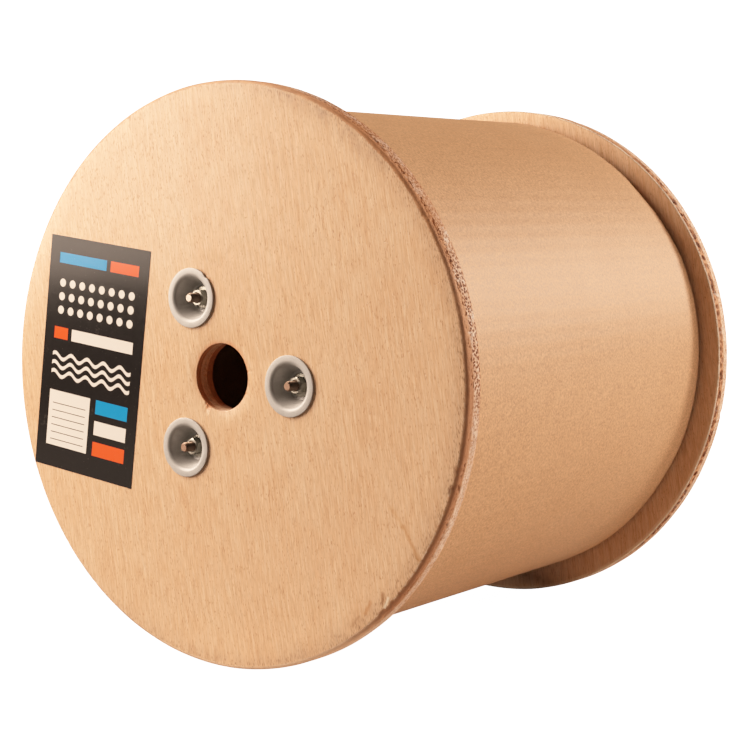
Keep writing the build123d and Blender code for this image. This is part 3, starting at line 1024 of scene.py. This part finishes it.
def makeHardware():
    cupSteel = makeCupSteel(cupLook)
    zinc, tarnished, rodZinc = [makeZinc(zincLook, kind) for kind in zincLook["kinds"]]
    cup = turnRings("cupMaster", cupLook["segments"], cupRings(cupLook))
    smoothOver(cup, 30)
    washer = turnRings("washerMaster", washerLook["segments"], washerRings(washerLook))
    smoothOver(washer, 30)
    nut = makeNut(nutLook)
    smoothOver(nut, 20)
    rod = makeRod(rodLook)
    smoothOver(rod, 25)
    for number in (1, 2, 3):
        rodLow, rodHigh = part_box(f"tie_rod_{number}")
        axis = (rodLow + rodHigh) / 2
        piece = copyTo(rod, f"threadedRod{number}", axis, roll=radians(70 * number))
        finishPiece(piece, rodZinc if number == 2 else tarnished, f"tie_rod_{number}")
        for end, side in (("front", -1), ("rear", 1)):
            face = axis + Vector((0, side * outerFace, 0))
            half = side > 0
            node = f"{end}_cup_washer_{number}"
            piece = copyTo(cup, f"{end}CupWasher{number}", face, half)
            for dentNode, angle, length, push in cupLook["dents"]:
                if dentNode == node:
                    dentRim(piece, face, angle, length, push)
            finishPiece(piece, cupSteel, node)
            roll = radians(nutLook["turns"][number - 1])
            for kind, master, label, turn in (("plain_washer", washer, "PlainWasher", 0.0),
                                              ("nut", nut, "HexNut", roll)):
                node = f"{end}_{kind}_{number}"
                low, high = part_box(node)
                seat = Vector((axis.x, high.y if side < 0 else low.y, axis.z))
                piece = copyTo(master, f"{end}{label}{number}", seat, half, turn)
                finishPiece(piece, zinc, node)
    for master in (cup, washer, nut, rod):
        bpy.data.objects.remove(master)
    print("hardware ready")


makeHardware()


# wrap: one sheet of corrugated kraft board, spun round the winding and lapped at the back

wrapLook = {
    "thick": 4.0 * mm,
    "lapGap": 0.3 * mm,
    "lapLength": 42.0 * mm,
    "lapAngle": 205.0,
    "riseAngle": 60.0,
    "rows": 34,
    "stepDegrees": 0.5,
    "flutes": 110,
    "fluteRise": 0.05 * mm,
    "slack": 0.5 * mm,
    "raised": 1.3 * mm,  # the sheet sits high, and higher towards the rear flange
    "skew": 0.019,
    "edgeCurl": 1.3 * mm,
    "curlWidth": 6.0 * mm,
    "slumpWidth": 15.0 * mm,
    "slumps": [  # side of the drum, angle, half length, drop of the edge
        (1, 52.0, 68.0 * mm, 2.6 * mm),
        (1, 43.0, 13.0 * mm, 0.9 * mm),
        (1, -36.0, 30.0 * mm, 0.8 * mm),
        (-1, 62.0, 26.0 * mm, 0.4 * mm),
        (-1, -140.0, 30.0 * mm, 0.7 * mm),
    ],
    "paper": [(0.3, (0.575, 0.335, 0.185)), (0.7, (0.600, 0.355, 0.200))],
    "fleck": (0.30, 0.15, 0.07),
}


def makeKraft(look):
    material, shader, place = newMaterial("kraftBoard")
    axes = axesOf(place)
    pulp = useGroup(fibreGroup, Vector=place, Scale=820.0)
    paper = colourRamp(pulp["Cloud"], look["paper"])
    paper = shadeBy(paper, span(pulp["Tooth"], 0.3, 0.7, 0.67, 1.32))
    paper = mixColour(times(pulp["Fleck"], 0.2), paper, look["fleck"])
    angle = calc("ARCTAN2", axes["Z"], axes["X"])
    uneven = span(noiseAt(place, 22.0, 2.0), 0.3, 0.7, 0.2, 1.0)
    # the flutes show as relief and as faint bands of painted shade in the colour
    ripple = times(calc("SINE", times(angle, float(look["flutes"]))), uneven)
    paper = shadeBy(paper, span(ripple, -1.0, 1.0, 0.985, 1.015))
    finishShader(shader, paper, span(pulp["Tooth"], 0.3, 0.7, 0.46, 0.56), specular=0.36)
    height = plus(times(pulp["Tooth"], 0.35), times(ripple, 0.25))
    bumpInto(shader, height, 0.07 * mm, 0.6)
    return material


def holdOff(obj, least):  # nothing comes nearer to the drum's axis than this
    for vertex in obj.data.vertices:
        radius = hypot(vertex.co.x, vertex.co.z)
        if radius < least:
            vertex.co.x *= least / radius
            vertex.co.z *= least / radius


def makeWrap(look, material):
    low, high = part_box("wrap")
    halfWide = high.y
    outer = high.x
    rise = look["thick"] + look["lapGap"]
    riseAngle = radians(look["riseAngle"])
    lapAngle = radians(look["lapAngle"])
    shift = rise / (1 - cos(riseAngle / 2)) / 2
    riseStart = lapAngle - riseAngle

    def towards(angle, reach):
        return Vector((cos(angle), 0, sin(angle))) * reach

    startClean()
    bpy.ops.mesh.primitive_plane_add(size=2 * halfWide)
    wrap = bpy.context.object
    wrap.name = "wrapBoard"
    bpy.ops.object.mode_set(mode="EDIT")
    bpy.ops.mesh.select_mode(type="VERT")
    bpy.ops.mesh.select_all(action="DESELECT")
    mesh = bmesh.from_edit_mesh(wrap.data)
    for vertex in mesh.verts:
        vertex.select_set(vertex.co.x < 0)
    bpy.ops.mesh.delete(type="VERT")
    mesh = bmesh.from_edit_mesh(wrap.data)
    for vertex in mesh.verts:  # the sheet's inner end, a line along the drum
        vertex.co = towards(lapAngle, outer) + Vector((0, vertex.co.y, 0))
    bpy.ops.mesh.select_all(action="SELECT")
    bpy.ops.mesh.subdivide(number_cuts=look["rows"])
    mesh = bmesh.from_edit_mesh(wrap.data)
    for vertex in mesh.verts:  # rows crowd towards the two edges, which curl
        middle = 1 - abs(vertex.co.y) / halfWide
        vertex.co.y = (1 - middle * middle) * (halfWide if vertex.co.y > 0 else -halfWide)
    arcs = [  # round the winding, up over the start in two tangent arcs, and on along the lap
        (Vector(), 2 * pi - riseAngle),
        (towards(riseStart, -shift), riseAngle / 2),
        (towards(lapAngle, shift), riseAngle / 2),
        (Vector(), look["lapLength"] / (outer + rise)),
    ]
    for centre, turn in arcs:
        steps = max(4, round(turn * 180 / pi / look["stepDegrees"]))
        bpy.ops.mesh.spin(steps=steps, angle=turn, center=centre, axis=(0, 1, 0))
    bpy.ops.mesh.select_all(action="SELECT")
    bpy.ops.mesh.remove_doubles(threshold=0.01 * mm)
    bpy.ops.mesh.normals_make_consistent(inside=False)
    bpy.ops.object.mode_set(mode="OBJECT")

    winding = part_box("cable_winding")[1].x
    for vertex in wrap.data.vertices:  # slack, faint flutes, curled edges and slumped places
        point = vertex.co
        angle = atan2(point.z, point.x)
        out = towards(angle, 1.0)
        loose = 0.5 + 0.5 * noise.noise(Vector((out.x * 2.2, point.y * 9, out.z * 2.2)))
        flute = 0.5 + 0.5 * sin(angle * look["flutes"])
        lift = look["slack"] * (loose - 0.5) + look["fluteRise"] * flute
        inset = (halfWide - abs(point.y)) / look["curlWidth"]
        if inset < 1:
            lift -= look["edgeCurl"] * (1 - inset) ** 2
        for side, slumpAngle, halfLength, drop in look["slumps"]:
            reach = turnTo(angle, slumpAngle) * outer / halfLength
            inset = (halfWide - side * point.y) / look["slumpWidth"]
            if reach < 1 and inset < 1:
                lift -= drop * (1 - reach * reach) * (1 - inset) ** 2
        moved = point + out * lift
        moved.z += look["raised"] + look["skew"] * moved.y
        vertex.co = moved
    holdOff(wrap, winding + 0.6 * mm)
    applyModifier(wrap, "SOLIDIFY", thickness=look["thick"], offset=-1.0, use_even_offset=True)
    holdOff(wrap, winding + 0.1 * mm)
    smoothOver(wrap, 35)
    finishPiece(wrap, material, "wrap")


makeWrap(wrapLook, makeKraft(wrapLook))
print("wrap ready")


# label: a printed film, stuck down and rubbed over the edge of the rim

labelLook = {
    "width": 75.7 * mm,
    "height": 129.5 * mm,
    "middle": (-95.0 * mm, 5.3 * mm),
    "turn": -7.3,
    "columns": 76,
    "rows": 130,
    "thick": 0.09 * mm,
    "lift": 0.1 * mm,
    "ripple": 0.06 * mm,
    "ink": (0.013, 0.012, 0.012),
    "white": (0.80, 0.76, 0.71),
    "blue": (0.012, 0.27, 0.62),
    "red": (0.80, 0.095, 0.022),
    "rubbed": (0.30, 0.26, 0.23),
    "dust": (0.35, 0.30, 0.25),
    "blocks": [  # ink, left, right, bottom, top in parts of the label
        ("blue", 0.10, 0.58, 0.885, 0.930),
        ("red", 0.62, 0.90, 0.885, 0.930),
        ("red", 0.10, 0.24, 0.560, 0.610),
        ("white", 0.28, 0.90, 0.560, 0.610),
        ("white", 0.10, 0.52, 0.095, 0.335),
        ("blue", 0.58, 0.90, 0.275, 0.335),
        ("white", 0.58, 0.90, 0.185, 0.245),
        ("red", 0.58, 0.90, 0.095, 0.155),
    ],
    "dots": (0.10, 0.90, 0.655, 0.8304),  # left, right, bottom, top of the field of dots
    "dotGrid": (8, 3),
    "dotSize": 0.3,
    "waves": (0.10, 0.90, 0.400, 0.515),  # the field of wavy lines, how many, how broad, and their swing
    "wavesCount": 3,
    "wavesBroad": 0.42,
    "waveTurns": 6,
    "waveSwing": 0.012,
    "ruled": (0.14, 0.48, 0.120, 0.310),  # fine lines on the pale panel
    "ruledCount": 6,
    "ruledBroad": 0.1,
}


def fieldMask(u, v, field):
    left, right, bottom, top = field
    return useGroup(boxGroup, U=u, V=v, Left=left, Right=right, Bottom=bottom, Top=top)["Mask"]


def cellIn(u, v, field, columns, rows):  # place inside each cell of a field, 0 to 1 both ways
    left, right, bottom, top = field
    cellU = times(minus(u, left), columns / (right - left))
    cellV = times(minus(v, bottom), rows / (top - bottom))
    return calc("FRACT", cellU), calc("FRACT", cellV)


def makeLabelFilm(look):
    material, shader, place = newMaterial("labelFilm")
    sheet = addNode("UVMap", uv_map="UVMap").outputs["UV"]
    axes = axesOf(sheet)
    u, v = axes["X"], axes["Y"]
    rubbed = useGroup(scuffGroup, Vector=place, Scale=75.0, Cover=0.34)
    film = mixColour(times(rubbed["Mask"], 0.07), look["ink"], look["rubbed"])
    for ink, *field in look["blocks"]:
        film = mixColour(fieldMask(u, v, field), film, look[ink])
    cellU, cellV = cellIn(u, v, look["dots"], *look["dotGrid"])
    away = fromMiddle(minus(cellU, 0.5), minus(cellV, 0.5))
    dots = times(fieldMask(u, v, look["dots"]), calc("LESS_THAN", away, look["dotSize"]))
    film = mixColour(dots, film, look["white"])
    swing = times(calc("SINE", times(u, 2 * pi * look["waveTurns"])), look["waveSwing"])
    for name, height, ink in (("waves", plus(v, swing), "white"), ("ruled", v, "ink")):
        count, broad = look[name + "Count"], look[name + "Broad"]
        lineV = cellIn(u, height, look[name], 1, count)[1]
        lines = times(fieldMask(u, height, look[name]), calc("LESS_THAN", lineV, broad))
        film = mixColour(lines, film, look[ink])
    dust = noiseAt(place, 900.0, 2.0)
    film = mixColour(span(dust, 0.7, 0.8, 0.0, 0.2), film, look["dust"])
    finishShader(shader, film, span(rubbed["Fine"], 0.3, 0.7, 0.11, 0.17), specular=0.125)
    bumpInto(shader, rubbed["Fine"], 0.01 * mm, 0.3)
    return material


def makeLabel(look, material):
    startClean()
    bpy.ops.mesh.primitive_grid_add(x_subdivisions=look["columns"], y_subdivisions=look["rows"], size=1)
    label = bpy.context.object
    label.name = "labelFilm"
    across, up = look["middle"]
    stand = Matrix.Translation((across, -outerFace, up)) @ Matrix.Rotation(pi / 2, 4, "X")
    turn = Matrix.Rotation(radians(look["turn"]), 4, "Z")
    label.matrix_world = stand @ turn @ Matrix.Diagonal((look["width"], look["height"], 1, 1))
    bpy.ops.object.transform_apply(location=True, rotation=True, scale=True)
    bend = flangeLook["outerRound"]
    flatRadius = rimRadius - bend
    for vertex in label.data.vertices:
        point = vertex.co
        wave = 0.5 + 0.5 * noise.noise(Vector((point.x, 0.3, point.z)) * 45)
        point.y -= look["lift"] + look["ripple"] * wave
        radius = hypot(point.x, point.z)
        over = radius - flatRadius
        if over > 0:  # follow the rounded rim
            turn = over / bend
            pull = (flatRadius + bend * sin(turn)) / radius
            vertex.co = (point.x * pull, point.y + bend * (1 - cos(turn)), point.z * pull)
    applyModifier(label, "SOLIDIFY", thickness=look["thick"], offset=-1.0)
    smoothOver(label, 40)
    finishPiece(label, material, "label")


makeLabel(labelLook, makeLabelFilm(labelLook))
print("label ready")


# barrel and winding keep their CAD shapes

innerLook = {
    "tubeColour": (0.42, 0.27, 0.16),
    "tubeDark": (0.3024, 0.1944, 0.1152),
    "seamColour": (0.08, 0.05, 0.03),
    "tubeSeam": 95.0 * mm,
    "cablePitch": 6.1 * mm,
    "sheath": (0.022, 0.022, 0.024),
    "shadeBetweenTurns": (0.006, 0.006, 0.006),
}


def makePaperTube(look):
    material, shader, place = newMaterial("paperTube")
    axes = axesOf(place)
    pulp = useGroup(fibreGroup, Vector=place, Scale=700.0)
    turn = calc("DIVIDE", calc("ARCTAN2", axes["Z"], axes["X"]), 2 * pi)
    lay = calc("FRACT", plus(calc("DIVIDE", axes["Y"], look["tubeSeam"]), turn))
    seam = span(lay, 0.0, 0.012, 1.0, 0.0)
    paper = mixColour(pulp["Cloud"], look["tubeDark"], look["tubeColour"])
    paper = shadeBy(paper, span(pulp["Tooth"], 0.3, 0.7, 0.86, 1.1))
    paper = mixColour(times(seam, 0.6), paper, look["seamColour"])
    finishShader(shader, paper, span(pulp["Tooth"], 0.3, 0.7, 0.7, 0.88))
    bumpInto(shader, minus(pulp["Tooth"], seam), 0.1 * mm, 0.7)
    return material


def makeSheath(look):
    material, shader, place = newMaterial("cableSheath")
    axes = axesOf(place)
    turns = calc("SINE", times(axes["Y"], 2 * pi / look["cablePitch"]))
    fine = noiseAt(place, 600.0, 2.0)
    # painted shade: darker in the grooves between the cable's turns
    tone = mixColour(span(turns, -1.0, 0.2), look["shadeBetweenTurns"], look["sheath"])
    finishShader(shader, tone, span(fine, 0.3, 0.7, 0.38, 0.5))
    bumpInto(shader, turns, 2.0 * mm, 0.8)
    return material


def paintNode(name, material):
    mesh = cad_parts[name].data
    mesh.materials.clear()
    mesh.materials.append(material)


paintNode("barrel", makePaperTube(innerLook))
paintNode("cable_winding", makeSheath(innerLook))
print("barrel and winding painted")
